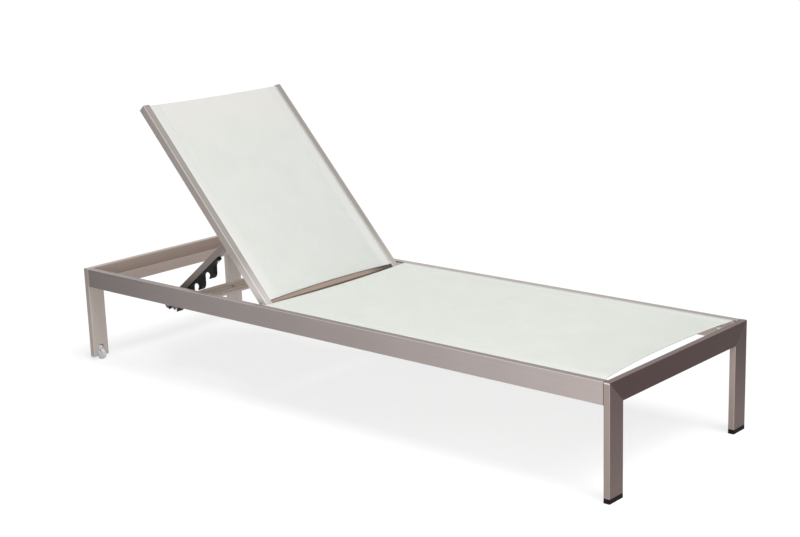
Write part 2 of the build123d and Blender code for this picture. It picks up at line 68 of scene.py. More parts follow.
# How finely a cloth is divided: across, along, under each hem, and round its folded edge
COLUMNS = 48
ROWS = 72
FLAP_STEPS = 4
TURN_STEPS = 6

# The weave, and where the side hem ends, measured from the cloth's edge
THREAD_PITCH = 0.0014
SIDE_HEM_STEP = (0.0385, 0.0395)
WELT_RISE = (0.0372, 0.0378)
WELT_FALL = (0.0384, 0.039)

# The stitches, how far their two rows lie from the folded edge, and the width left without them
STITCH_PITCH = 0.0045
STITCH_LENGTH = 0.0034
STITCH_WIDTH = 0.0007
STITCH_ROWS = (0.022, 0.0245)
STITCH_FREE = 0.006

# Wheel faces, from the tread inwards: each step's inset, and its push outwards
WHEEL_STEPS = ((0.0035, -0.0025), (0.006, 0.002), (0.0012, 0.0005))
WHEEL_ROUNDING = 0.0009

# The hexagon in a bolt's head
SOCKET_RADIUS = 0.0033
SOCKET_DEPTH = 0.0008
SOCKET_RIM = 0.0006
SOCKET_SUNK = 0.0004

# The slot in each head leg: its round top, and the thin plate that gives it. The dark crescent
# under it is a painted shadow in the slot: the part of the round top that the same circle, shifted
# outwards and down, leaves over.
SLOT_RADIUS = 0.009
SLOT_ARCH = 0.0395
PLATE_SIZE = (0.0004, 0.0236, 0.0204)
PLATE_MIDDLE = 0.0387
PLATE_SUNK = 0.0001
SLOT_SHADOW_DEPTH = 0.0004
SLOT_SHADOW_SUNK = 0.00015
SLOT_SHADOW_SHIFT = (0.002, -0.0024)
CUT_DEPTH = 0.004

# The brushing's grain and its broad bands: their size along the member, and across it
HAIR_SIZE = (0.2, 0.0006, 0.0006)
BAND_SIZE = (0.6, 0.009, 0.009)

# The way the brushing runs, as the turn that carries the X axis onto it
ALONG_X = (0.0, 0.0, 0.0)
ALONG_Y = (0.0, 0.0, pi / 2)
ALONG_Z = (0.0, pi / 2, 0.0)
ALONG_STILE = (0.0, RECLINE, 0.0)
ALONG_PROP = (0.0, -PROP_SLOPE, 0.0)

# Seams between tubes, each from dark to plain or back: away from a mitre, and along a side rail
# up to its cut end
MITRE_SEAM = (0.0004, 0.0013)
RAIL_SEAM = (0.9608, 0.9614)

# How much lighter and darker the brushing makes a tone, in steps of 255
TONE_SPREAD = 5
FACE_SPREAD = 4

# Each metal finish, with the nodes that have it. Its tone is set member by member as painted light
# and shade: the foot end darker, and the head legs, head rail, channel and far rail lighter. face
# gives the faces that look along an axis a tone of their own, painted light on some sides and
# painted shade on others: the axis, how much of the normal lies along it where that tone begins
# and where it is whole, and the tone. Each of fades is painted shade, a painted highlight or a
# painted reflection: an axis, where the fade is strongest along it and where it ends, how strong
# it is, its tone, and the axis that its faces look along.
METALS = {
    # Near rail: painted shade on its side, darker towards the head end, a painted highlight on its
    # side at the head end where it meets the leg, and painted shade on its top from the middle to
    # the foot
    "side_rail": (["side_rail_near", "corner_brackets"], dict(
        grain=ALONG_X, tone=(137, 128, 125), seam="end",
        painted_shading=[("X", -0.9577, -0.9567, 0.55, (236, 228, 223), "Y"),
               ("X", -0.98, -0.5, 0.39, (60, 28, 26), "Y"),
               ("X", -0.1, -0.35, 0.32, (60, 52, 50), "Z")])),
    # Far rail: lighter than the near rail as painted light, with painted light on its inner face
    # and painted shade on its top towards the foot end
    "far_rail": (["side_rail_far"], dict(
        grain=ALONG_X, tone=(158, 150, 145), seam="end",
        face=("Y", -0.75, -0.97, (214, 197, 185)),
        painted_shading=[("X", 1.0, 0.4, 0.26, (60, 52, 50), "Z")])),
    # Head rail and channel: lighter tones as painted light, where the backrest shades them
    "head_rail": (["head_end_rail"], dict(grain=ALONG_Y, tone=(182, 167, 158), seam="mitre")),
    "channel": (["head_channel"], dict(grain=ALONG_Y, tone=(198, 182, 173))),
    # Near head leg: painted light on its face towards the foot end, and painted shade on its sides
    # towards the top
    "head_leg": (["head_leg_near"], dict(
        grain=ALONG_Z, tone=(170, 159, 153), seam="mitre",
        face=("X", 0.75, 0.97, (194, 183, 175)),
        painted_shading=[("Z", 0.3, 0.13, 0.3, (60, 48, 44), "Y")])),
    # Far head leg: lighter than the near one, as painted light
    "far_head_leg": (["head_leg_far"], dict(
        grain=ALONG_Z, tone=(208, 196, 189), seam="mitre",
        face=("X", 0.75, 0.97, (198, 187, 179)))),
    # Foot rail: a dark tone, and painted shade on its face towards the foot end
    "foot_rail": (["foot_end_rail"], dict(
        grain=ALONG_Y, tone=(94, 79, 76), seam="mitre", gloss=0.36,
        face=("X", 0.75, 0.97, (50, 20, 14)))),
    # Near foot leg: painted shade on its face towards the foot end, deeper towards the top, a
    # painted highlight along the top of its sides, and only a weak painted highlight on its edges
    "foot_leg": (["foot_leg_near"], dict(
        grain=ALONG_Z, tone=(118, 106, 100), seam="mitre", edge_highlight_share=0.1,
        face=("X", 0.75, 0.97, (92, 73, 69)),
        painted_shading=[("Z", 0.3, 0.04, 0.62, (50, 20, 14), "X"),
               ("Z", 0.2965, 0.2955, 0.42, (240, 228, 222), "Y")])),
    # Far foot leg: lighter than the near one as painted light, with painted shade on its face
    # towards the foot end that deepens to the top, painted shade on its sides towards the floor,
    # and only a weak painted highlight on its edges
    "far_foot_leg": (["foot_leg_far"], dict(
        grain=ALONG_Z, tone=(155, 141, 134), seam="mitre", edge_highlight_share=0.1,
        face=("X", 0.75, 0.97, (92, 73, 69)),
        painted_shading=[("Z", 0.26, 0.06, 1.0, (50, 20, 14), "X"),
               ("Z", 0.0, 0.16, 0.42, (90, 60, 45), "Y")])),
    # Near stile: painted shade on its front, and a painted reflection of the seat cloth that makes
    # it lighter towards its foot, strongest on its side
    "stile": (["back_stile_near"], dict(
        grain=ALONG_STILE, tone=(158, 149, 145),
        face=("Z", 0.45, 0.6, (143, 138, 132)),
        painted_shading=[("Z", 0.3, 0.42, 0.36, (238, 232, 228), None),
               ("Z", 0.3, 0.41, 0.6, (238, 232, 228), "Y")])),
    # Far stile, caps and bushes: painted shade on the front, and a weaker painted reflection of
    # the seat cloth towards the foot
    "far_stile": (["back_stile_far", "stile_caps", "hinge_bushes"], dict(
        grain=ALONG_STILE, tone=(158, 149, 145),
        face=("Z", 0.45, 0.6, (143, 138, 132)),
        painted_shading=[("Z", 0.3, 0.42, 0.18, (238, 232, 228), None)])),
    "cross_tube": (["seat_spreader_1", "seat_spreader_2", "back_top_tube"], dict(
        grain=ALONG_Y, tone=(146, 128, 117))),
    # Middle beam and low tube: a painted shadow on their far end, in the hinge corner
    "gap_tube": (["mid_cross_beam", "back_low_tube"], dict(
        grain=ALONG_Y, tone=(146, 128, 117),
        painted_shading=[("Y", 0.22, 0.15, 0.8, (45, 22, 18), None)])),
    "prop": (["prop_arm_near", "prop_arm_far"], dict(grain=ALONG_PROP, tone=(127, 115, 109))),
    "spreader": (["prop_spreader"], dict(grain=ALONG_Y, tone=(205, 187, 175))),
}

BLACK_NODES = ["hook_rack_near", "hook_rack_far", "hook_peg_near", "hook_peg_far", "pivot_washers",
               "prop_end_caps"]
STEEL_NODES = ["corner_bolts", "corner_washers", "end_frame_screws", "hinge_pins", "peg_screws",
               "wheel_axles", "pivot_bolts", "rack_screws"]


# Camera

def add_camera():
    data = bpy.data.cameras.new("camera")
    data.lens = 67.852
    data.sensor_width = 36
    data.clip_end = 200
    camera = bpy.data.objects.new("camera", data)
    place = (2.81509, -3.10503, 1.40637)
    right = Vector((0.75288343, 0.65739036, -0.03169311))
    down = Vector((0.13516715, -0.20157076, -0.97010261))
    ahead = Vector((-0.64412451, 0.72609031, -0.24061687))
    turn = Matrix((right, -down, -ahead)).transposed()
    camera.matrix_world = Matrix.Translation(place) @ turn.to_4x4()
    bpy.context.scene.collection.objects.link(camera)
    bpy.context.scene.camera = camera


# Material helpers

class Finish:
    """A material with its shader, and short ways to add nodes to it."""

    def __init__(self, name):
        self.material = bpy.data.materials.new(name)
        self.material.use_nodes = True
        self.tree = self.material.node_tree
        self.shader = self.tree.nodes["Principled BSDF"]

    def add(self, kind, **settings):
        node = self.tree.nodes.new(kind)
        for key, value in settings.items():
            setattr(node, key, value)
        return node

    def link(self, output, socket):
        self.tree.links.new(output, socket)

    def place(self):
        return self.add("ShaderNodeTexCoord").outputs["Object"]

    def split(self, vector):
        """The vector's three parts, by the names X, Y and Z."""
        node = self.add("ShaderNodeSeparateXYZ")
        self.link(vector, node.inputs[0])
        return node.outputs

    def math(self, operation, first, second=None):
        node = self.add("ShaderNodeMath", operation=operation)
        for socket, value in zip(node.inputs, (first, second)):
            if isinstance(value, (int, float)):
                socket.default_value = value
            elif value is not None:
                self.link(value, socket)
        return node.outputs[0]

    def ramp(self, value, low, high, out_low=0.0, out_high=1.0):
        node = self.add("ShaderNodeMapRange")
        self.link(value, node.inputs["Value"])
        node.inputs["From Min"].default_value = low
        node.inputs["From Max"].default_value = high
        node.inputs["To Min"].default_value = out_low
        node.inputs["To Max"].default_value = out_high
        return node.outputs[0]

    def stretch(self, vector, turn, size):
        """Coordinates in which one unit is this size, along the turned axes."""
        node = self.add("ShaderNodeMapping", vector_type="TEXTURE")
        node.inputs["Rotation"].default_value = turn
        node.inputs["Scale"].default_value = size
        self.link(vector, node.inputs["Vector"])
        return node.outputs[0]

    def noise(self, vector, scale, detail=2.0, roughness=0.5):
        node = self.add("ShaderNodeTexNoise")
        node.inputs["Scale"].default_value = scale
        node.inputs["Detail"].default_value = detail
        node.inputs["Roughness"].default_value = roughness
        self.link(vector, node.inputs["Vector"])
        return node.outputs["Fac"]

    def mix(self, share, first, second):
        node = self.add("ShaderNodeMix", data_type="RGBA")
        sockets = (node.inputs[0], node.inputs[6], node.inputs[7])
        for socket, value in zip(sockets, (share, first, second)):
            if isinstance(value, (tuple, float, int)):
                socket.default_value = value
            else:
                self.link(value, socket)
        return node.outputs[2]

    def paint(self, tone):
        self.link(tone, self.shader.inputs["Base Color"])

    def roughen(self, grain, low, high):
        """Roughness that goes from low to high with a noise."""
        self.link(self.ramp(grain, 0.3, 0.7, low, high), self.shader.inputs["Roughness"])

    def bump(self, height, strength, distance):
        node = self.add("ShaderNodeBump")
        node.inputs["Strength"].default_value = strength
        node.inputs["Distance"].default_value = distance
        self.link(height, node.inputs["Height"])
        self.link(node.outputs["Normal"], self.shader.inputs["Normal"])

    def set(self, socket, value):
        self.shader.inputs[socket].default_value = value


def colour(red, green, blue):
    """An sRGB colour from 0 to 255 as a linear one."""
    out = []
    for value in (red, green, blue):
        out.append(value / 255 / 12.92 if value <= 10 else ((value / 255 + 0.055) / 1.055) ** 2.4)
    return (*out, 1.0)


def light_and_dark(tone, spread):
    return [colour(*(value + step for value in tone)) for step in (spread, -spread)]


# Finishes

def brushed_aluminium(name, grain, tone, face=None, seam=None, painted_shading=(), gloss=0.5, edge_highlight_share=0.3):
    """Champagne anodised aluminium, brushed along the member, with painted light and shade on its
    faces and a painted highlight on its rounded edges.
    """
    finish = Finish(name)
    place = finish.place()
    where = finish.split(place)
    normal = finish.split(finish.add("ShaderNodeTexCoord").outputs["Normal"])
    hairs = finish.noise(finish.stretch(place, grain, HAIR_SIZE), 1.0, 3.0, 0.6)
    bands = finish.noise(finish.stretch(place, grain, BAND_SIZE), 1.0)
    cloud = finish.noise(place, 5.0)
    blend = finish.math("ADD", finish.math("MULTIPLY", hairs, 0.6),
                        finish.math("MULTIPLY", bands, 0.16))
    blend = finish.math("ADD", blend, finish.math("MULTIPLY", cloud, 0.24))
    share = finish.ramp(blend, 0.36, 0.64)
    light, dark = light_and_dark(tone, TONE_SPREAD)
    shade = finish.mix(share, dark, light)
    # Painted light and shade by side: the faces that look along the axis get a tone of their own
    if face:
        axis, low, high, painted_side_tone = face
        light, dark = light_and_dark(painted_side_tone, FACE_SPREAD)
        turned = finish.ramp(normal[axis], low, high)
        shade = finish.mix(turned, shade, finish.mix(share, dark, light))
    # Painted shade, painted highlights and painted reflections, fading along an axis
    for along, start, end, most, tint, facing in painted_shading:
        part = finish.ramp(where[along], start, end, most, 0.0)
        if facing:
            looking = finish.math("ABSOLUTE", normal[facing])
            part = finish.math("MULTIPLY", part, finish.ramp(looking, 0.8, 0.97))
        shade = finish.mix(part, shade, colour(*tint))
    # A painted highlight, in a pale tone, on the rounded edges next to the faces that look
    # sideways
    sideways = finish.math("ABSOLUTE", normal["Y"])
    painted_edge_highlight = finish.math("MULTIPLY", finish.ramp(sideways, 0.2, 0.45, 0.0, edge_highlight_share),
                       finish.ramp(sideways, 0.8, 0.97, 1.0, 0.0))
    shade = finish.mix(painted_edge_highlight, shade, colour(232, 222, 216))
    if seam:
        shade = finish.mix(seam_line(finish, where, seam), shade, colour(58, 50, 47))
    finish.paint(shade)
    finish.roughen(hairs, 0.36, 0.48)
    finish.set("Metallic", 0.15)
    finish.set("Specular IOR Level", gloss)
    finish.bump(hairs, 0.1, 0.0003)
    return finish.material


def seam_line(finish, where, seam):
    """Dark on the seam where two tubes meet: an end frame's mitre, or a side rail's cut end."""
    if seam == "mitre":
        from_side = finish.math("SUBTRACT", HALF_WIDTH, finish.math("ABSOLUTE", where["Y"]))
        from_top = finish.math("SUBTRACT", RAIL_TOP, where["Z"])
        away = finish.math("ABSOLUTE", finish.math("SUBTRACT", from_side, from_top))
        return finish.ramp(away, *MITRE_SEAM, 0.75, 0.0)
    return finish.ramp(where["X"], *RAIL_SEAM, 0.0, 0.7)


def moulded_black(name, gloss):
    finish = Finish(name)
    place = finish.place()
    grain = finish.noise(place, 900.0, 3.0, 0.6)
    patch = finish.noise(place, 40.0)
    finish.paint(finish.mix(patch, (0.004, 0.0035, 0.004, 1), (0.011, 0.009, 0.01, 1)))
    finish.roughen(grain, 0.5, 0.65)
    finish.set("Specular IOR Level", gloss)
    finish.bump(grain, 0.2, 0.0003)
    return finish.material


def clear_wheel():
    """White translucent wheel plastic."""
    finish = Finish("clear_wheel")
    haze = finish.noise(finish.place(), 130.0, 3.0, 0.6)
    finish.paint(finish.mix(haze, (0.84, 0.83, 0.86, 1), (0.95, 0.935, 0.96, 1)))
    finish.roughen(haze, 0.22, 0.36)
    finish.set("Transmission Weight", 0.25)
    finish.set("IOR", 1.46)
    finish.bump(haze, 0.08, 0.0003)
    return finish.material


def zinc_steel():
    finish = Finish("zinc_steel")
    spangle = finish.noise(finish.place(), 350.0, 3.0, 0.6)
    finish.paint(finish.mix(spangle, (0.5, 0.5, 0.49, 1), (0.74, 0.74, 0.72, 1)))
    finish.roughen(spangle, 0.2, 0.38)
    finish.set("Metallic", 1.0)
    finish.bump(spangle, 0.05, 0.0002)
    return finish.material


def spline_cord():
    finish = Finish("spline_cord")
    streak = finish.noise(finish.place(), 260.0)
    finish.paint(finish.mix(streak, (0.5, 0.51, 0.49, 1), (0.64, 0.65, 0.62, 1)))
    finish.set("Roughness", 0.5)
    finish.bump(streak, 0.1, 0.0002)
    return finish.material


def hem_thread():
    finish = Finish("hem_thread")
    twist = finish.noise(finish.place(), 1400.0)
    finish.paint(finish.mix(twist, colour(196, 197, 192), colour(226, 227, 222)))
    finish.set("Roughness", 0.6)
    finish.bump(twist, 0.3, 0.0002)
    return finish.material


def woven_sling(name, half_width, low, high, hem_tone, ends):
    """Coated mesh cloth on its own UV in metres: u across, v along. Its side hems are double.

    low and high are its tones. Each of ends is a band of painted light and shade along the cloth:
    where its tint is strongest, where it ends, how strong it is, and the tint.
    """
    finish = Finish(name)
    uv = finish.add("ShaderNodeUVMap", uv_map="cut").outputs[0]
    where = finish.split(uv)
    across, along = where["X"], where["Y"]

    # The weave: warp and weft take turns to lie on top, and leave holes between them
    warp, weft = (finish.math("ABSOLUTE", finish.math(
        "SINE", finish.math("MULTIPLY", way, pi / THREAD_PITCH))) for way in (across, along))
    column, row = (finish.math("FLOOR", finish.math("DIVIDE", way, THREAD_PITCH))
                   for way in (across, along))
    odd = finish.math("ABSOLUTE", finish.math("MODULO", finish.math("ADD", column, row), 2.0))
    over = finish.math("MULTIPLY", warp, finish.ramp(odd, 0.0, 1.0, 1.0, 0.55))
    under = finish.math("MULTIPLY", weft, finish.ramp(odd, 0.0, 1.0, 0.55, 1.0))
    height = finish.math("MAXIMUM", over, under)

    # The side hem, and the welt along its edge
    from_edge = finish.math("SUBTRACT", half_width, finish.math("ABSOLUTE", across))
    doubled = finish.ramp(from_edge, *SIDE_HEM_STEP, 1.0, 0.0)
    welt = finish.math("MULTIPLY", finish.ramp(from_edge, *WELT_RISE),
                       finish.ramp(from_edge, *WELT_FALL, 1.0, 0.0))

    # Colour
    slub = finish.noise(uv, 9.0, 3.0, 0.6)
    threads = finish.add("ShaderNodeMapping")
    threads.inputs["Scale"].default_value = (500.0, 12.0, 1.0)
    finish.link(uv, threads.inputs["Vector"])
    thread = finish.noise(threads.outputs[0], 1.0)
    shade = finish.math("ADD", finish.math("MULTIPLY", slub, 0.5),
                        finish.math("MULTIPLY", thread, 0.5))
    plain = finish.mix(finish.ramp(shade, 0.35, 0.65), low, high)
    # Bands of painted shade and painted light along the cloth
    for start, end, most, tint in ends:
        plain = finish.mix(finish.ramp(along, start, end, most, 0.0), plain, tint)
    # Painted shade where the weave lies deep, between the threads
    shaded_weave = finish.mix(finish.ramp(height, 0.2, 0.95), colour(186, 190, 182), plain)
    hem = finish.mix(finish.math("MULTIPLY", doubled, 0.8), shaded_weave, hem_tone)
    finish.paint(finish.mix(finish.math("MULTIPLY", welt, 0.5), hem, colour(200, 200, 198)))
    finish.set("Roughness", 0.62)
    relief = finish.math("SUBTRACT", height, finish.math("MULTIPLY", welt, 2.0))
    finish.bump(relief, 0.35, 0.00035)

    # Light goes through the holes where the cloth is single
    hole = finish.math("LESS_THAN", height, 0.3)
    clear = finish.math("MULTIPLY", hole, finish.math("SUBTRACT", 1.0, doubled))
    both = finish.add("ShaderNodeMixShader")
    finish.link(clear, both.inputs[0])
    finish.link(finish.shader.outputs[0], both.inputs[1])
    finish.link(finish.add("ShaderNodeBsdfTransparent").outputs[0], both.inputs[2])
    finish.link(both.outputs[0], finish.tree.nodes["Material Output"].inputs["Surface"])
    return finish.material


def dress(names, material):
    for name in names:
        nodes[name].data.materials.clear()
        nodes[name].data.materials.append(material)


def dress_nodes():
    """Give every CAD node its finish, and return the three that new pieces have too."""
    metal = {}
    for part, (names, recipe) in METALS.items():
        metal[part] = brushed_aluminium("brushed_" + part, **recipe)
        dress(names, metal[part])
    black, clear = moulded_black("moulded_black", gloss=0.22), clear_wheel()
    dress(BLACK_NODES, black)
    dress(["foot_caps"], moulded_black("cap_black", gloss=0.06))
    dress(["wheel_fork_near", "wheel_fork_far"], clear)
    dress(STEEL_NODES, zinc_steel())
    dress(["seat_splines", "back_splines"], spline_cord())
    return metal["head_leg"], clear, black


# Modelling helpers

def select_only(*things):
    """Select these objects alone, and make the first one active."""
    bpy.ops.object.select_all(action="DESELECT")
    for thing in things:
        thing.select_set(True)
    if things:
        bpy.context.view_layer.objects.active = things[0]


def select_faces(thing, wanted):
    """Select in edit mode the faces for which wanted is true, and nothing else."""
    shape = bmesh.from_edit_mesh(thing.data)
    bpy.context.tool_settings.mesh_select_mode = (False, False, True)
    for face in shape.faces:
        face.select_set(False)
    for face in shape.faces:
        if wanted(face):
            face.select_set(True)
    bmesh.update_edit_mesh(thing.data)


def apply_all(thing):
    select_only(thing)
    for modifier in list(thing.modifiers):
        bpy.ops.object.modifier_apply(modifier=modifier.name)
    thing.select_set(False)


def copy_of(thing, move=Matrix()):
    """A copy with its own mesh, moved in its mesh."""
    copy = thing.copy()
    copy.data = thing.data.copy()
    copy.data.transform(move)
    bpy.context.scene.collection.objects.link(copy)
    return copy


def join(pieces, name, material):
    select_only(*pieces)
    bpy.ops.object.join()
    pieces[0].name = name
    pieces[0].data.materials.append(material)
    return pieces[0]


def drum(radius, depth, middle):
    """A cylinder along X."""
    select_only()
    bpy.ops.mesh.primitive_cylinder_add(vertices=64, radius=radius, depth=depth)
    made = bpy.context.object
    made.data.transform(Matrix.Translation(middle) @ Matrix.Rotation(pi / 2, 4, "Y"))
    return made


def brick(size, middle):
    select_only()
    bpy.ops.mesh.primitive_cube_add(size=1)
    made = bpy.context.object
    made.data.transform(Matrix.Translation(middle) @ Matrix.Diagonal((*size, 1)))
    return made


def carve(thing, tool):
    cut = thing.modifiers.new("cut", "BOOLEAN")
    cut.operation = "DIFFERENCE"
    cut.object = tool
    apply_all(thing)
    bpy.data.objects.remove(tool)


# Slings

def on_seat(across, along, lift):
    return Vector((along, across, RAIL_TOP - TRACK_MOUTH + FOLD + lift))


def on_back(across, along, lift):
    height = STILE_DEPTH / 2 - TRACK_MOUTH + FOLD + lift
    return HINGE + SLOPE * along + FACING * height + Vector((0, across, 0))


def hem_line(hem, bow):
    """Where a hem runs, from its places at the side, where bow is 1, and in the middle."""
    return hem[1] + (hem[0] - hem[1]) * bow


def droop(sag, bow, share):
    """How far the cloth hangs under the line of its tracks, at a share of its length."""
    return sag * (1 - bow) * (0.2 + 0.8 * sin(pi * share) ** 0.7)


def sheet_profile():
    """Steps along the cloth: which hem they hang on, distance inwards from it, and height."""
    fold = [(HEM - (HEM - FOLD) * k / FLAP_STEPS, -2 * FOLD) for k in range(FLAP_STEPS + 1)]
    for k in range(1, TURN_STEPS):
        turn = pi * k / TURN_STEPS
        fold.append((FOLD - FOLD * sin(turn), -FOLD - FOLD * cos(turn)))
    steps = [(0.0, *step) for step in fold]
    steps += [(k / ROWS, 0.0, 0.0) for k in range(ROWS + 1)]
    steps += [(1.0, *step) for step in reversed(fold)]
    return steps


def sling(name, body, node, place, half_width, start, end, sag, material):
    """A stretched cloth between two tracks. start and end are its hems, as hem_line has them."""
    mesh = bpy.data.meshes.new(name)
    shape = bmesh.new()
    cut = shape.loops.layers.uv.new("cut")
    middle = COLUMNS // 2
    grid, lengths = [], []
    travelled = 0.0
    for share, inwards, height in sheet_profile():
        line = []
        for column in range(COLUMNS + 1):
            across = half_width * (2 * column / COLUMNS - 1)
            bow = (across / half_width) ** 2
            low, high = hem_line(start, bow), hem_line(end, bow)
            if share == 0.0 and height < 0.0:
                along = low + inwards
            elif share == 1.0 and height < 0.0:
                along = high - inwards
            else:
                along = low + FOLD + (high - low - 2 * FOLD) * share
            line.append(shape.verts.new(place(across, along, height - droop(sag, bow, share))))
        if grid:
            travelled += (line[middle].co - grid[-1][middle].co).length
        grid.append(line)
        lengths.append(travelled)
    for k in range(len(grid) - 1):
        for column in range(COLUMNS):
            corners = ((column, k), (column, k + 1), (column + 1, k + 1), (column + 1, k))
            face = shape.faces.new([grid[step][at] for at, step in corners])
            face.smooth = True
            for loop, (at, step) in zip(face.loops, corners):
                loop[cut].uv = (half_width * (2 * at / COLUMNS - 1), lengths[step])
    bmesh.ops.recalc_face_normals(shape, faces=shape.faces)
    upper = shape.faces[(len(grid) // 2) * COLUMNS + middle]
    if upper.normal.z < 0:
        bmesh.ops.reverse_faces(shape, faces=shape.faces)
    shape.to_mesh(mesh)
    shape.free()
    cloth = bpy.data.objects.new(name, mesh)
    bpy.context.scene.collection.objects.link(cloth)
    thickness = cloth.modifiers.new("cloth", "SOLIDIFY")
    thickness.thickness = CLOTH
    thickness.offset = 0.0
    apply_all(cloth)
    cloth.data.materials.append(material)
    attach(cloth, body)
    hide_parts(node)
    return cloth


def hem_stitching(name, body, place, half_width, start, end, sag, material):
    """Two rows of lock stitch across each folded hem."""
    count = int(2 * (half_width - STITCH_FREE) / STITCH_PITCH)
    select_only()
    bpy.ops.mesh.primitive_uv_sphere_add(segments=6, ring_count=4, radius=0.5)
    row = bpy.context.object
    row.data.transform(Matrix.Diagonal((STITCH_WIDTH, STITCH_LENGTH, STITCH_WIDTH * 0.7, 1)))
    row.data.transform(Matrix.Translation((0, -STITCH_PITCH * (count - 1) / 2, 0)))
    repeat = row.modifiers.new("stitches", "ARRAY")
    repeat.count = count
    repeat.use_relative_offset = False
    repeat.use_constant_offset = True
    repeat.constant_offset_displace = (0, STITCH_PITCH, 0)
    apply_all(row)
    pieces = []
    for hem, way in ((start, 1), (end, -1)):
        for inwards in STITCH_ROWS:
            copy = copy_of(row)
            for vertex in copy.data.vertices:
                across = vertex.co.y
                bow = (across / half_width) ** 2
                along = hem_line(hem, bow) + way * inwards + vertex.co.x
                low, high = hem_line(start, bow), hem_line(end, bow)
                hang = droop(sag, bow, (along - low) / (high - low))
                vertex.co = place(across, along, CLOTH / 2 + vertex.co.z - hang)
            pieces.append(copy)
    bpy.data.objects.remove(row)
    stitches = join(pieces, name, material)
    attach(stitches, body)
    return stitches


# Wheels

def wheels(material):
    """Two moulded wheels, each with a rounded tread, a sunk web and a raised hub."""
    select_only()
    bpy.ops.mesh.primitive_cylinder_add(vertices=64, radius=WHEEL_RADIUS, depth=WHEEL_WIDTH)
    first = bpy.context.object
    first.data.transform(Matrix.Rotation(pi / 2, 4, "X"))
    bpy.ops.object.mode_set(mode="EDIT")
    for inset, push in WHEEL_STEPS:
        for facing in (-1, 1):
            select_faces(first, lambda face: face.normal.y * facing > 0.9 and len(face.verts) > 8)
            bpy.ops.mesh.inset(thickness=inset)
            bpy.ops.transform.translate(value=(0, facing * push, 0))
    bpy.ops.object.mode_set(mode="OBJECT")
    soften = first.modifiers.new("edges", "BEVEL")
    soften.width = WHEEL_ROUNDING
    soften.segments = 3
    soften.limit_method = "ANGLE"
    soften.angle_limit = radians(40)
    apply_all(first)
    first.data.materials.append(material)
    select_only(first)
    bpy.ops.object.shade_smooth_by_angle(angle=radians(35))
    along, across, height = WHEEL_MIDDLE
    for name, node, side in (("near_wheel_moulding", "wheel_near", -1),
                             ("far_wheel_moulding", "wheel_far", 1)):
        turned = copy_of(first, Matrix.Translation((along, side * across, height)))
        turned.name = name
        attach(turned, node)
        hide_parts(node)
    bpy.data.objects.remove(first)


def wheel_slots(metal, dark):
    """The round top of the slot in each head leg, and a black crescent under it as a painted
    shadow.
    """
    plates, slot_shadows = [], []
    for side in (-1, 1):
        y = side * WHEEL_MIDDLE[1]
        arch = (LEG_FACE, y, SLOT_ARCH)
        plate = brick(PLATE_SIZE, (LEG_FACE - PLATE_SUNK, y, PLATE_MIDDLE))
        carve(plate, drum(SLOT_RADIUS, CUT_DEPTH, arch))
        carve(plate, brick((CUT_DEPTH, 2 * SLOT_RADIUS, SLOT_ARCH), (LEG_FACE, y, SLOT_ARCH / 2)))
        plates.append(plate)
        # A black crescent on the leg's face, a painted shadow in the slot
        slot_shadow = drum(SLOT_RADIUS, SLOT_SHADOW_DEPTH, (LEG_FACE - SLOT_SHADOW_SUNK, y, SLOT_ARCH))
        shifted = (LEG_FACE, y + side * SLOT_SHADOW_SHIFT[0], SLOT_ARCH + SLOT_SHADOW_SHIFT[1])
        carve(slot_shadow, drum(SLOT_RADIUS, CUT_DEPTH, shifted))
        slot_shadows.append(slot_shadow)
    # The crescents are a painted shadow, made in the black plastic finish
    for pieces, name, material, slot in ((plates, "wheel_slot_arches", metal, "frame_metal"),
                                         (slot_shadows, "wheel_slot_shadows", dark, "black_plastic")):
        made = join(pieces, name, material)
        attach(made, "frame")


# Bolts

def bolt_sockets(material):
    """The hexagon sunk in each corner bolt's head, in black as painted shade inside the socket."""
    select_only()
    bpy.ops.mesh.primitive_cylinder_add(vertices=6, radius=SOCKET_RADIUS, depth=SOCKET_DEPTH)
    first = bpy.context.object
    first.data.transform(Matrix.Rotation(pi / 2, 4, "X"))
    bpy.ops.object.mode_set(mode="EDIT")
    select_faces(first, lambda face: face.normal.y < -0.9)
    bpy.ops.mesh.inset(thickness=SOCKET_RIM)
    bpy.ops.transform.translate(value=(0, SOCKET_SUNK, 0))
    bpy.ops.object.mode_set(mode="OBJECT")
    sockets = []
    for along, height in BOLT_PLACES:
        for side, turn in ((-1, pi), (1, 0)):
            move = Matrix.Translation((along, side * BOLT_HEAD_TOP, height))
            sockets.append(copy_of(first, move @ Matrix.Rotation(turn, 4, "Z")))
    bpy.data.objects.remove(first)
    made = join(sockets, "corner_bolt_sockets", material)
    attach(made, "frame")


# Floor and light

def show_directly(tree, shader, lighting, output):
    """Show shader to the camera, in mirrors and through glass. lighting is what the rest meets."""
    path = tree.nodes.new("ShaderNodeLightPath")
    direct = path.outputs["Is Camera Ray"]
    for name in ("Is Glossy Ray", "Is Transmission Ray"):
        larger = tree.nodes.new("ShaderNodeMath")
        larger.operation = "MAXIMUM"
        tree.links.new(direct, larger.inputs[0])
        tree.links.new(path.outputs[name], larger.inputs[1])
        direct = larger.outputs[0]
    choose = tree.nodes.new("ShaderNodeMixShader")
    tree.links.new(direct, choose.inputs[0])
    tree.links.new(lighting.outputs[0], choose.inputs[1])
    tree.links.new(shader.outputs[0], choose.inputs[2])
    tree.links.new(choose.outputs[0], tree.nodes[output].inputs["Surface"])


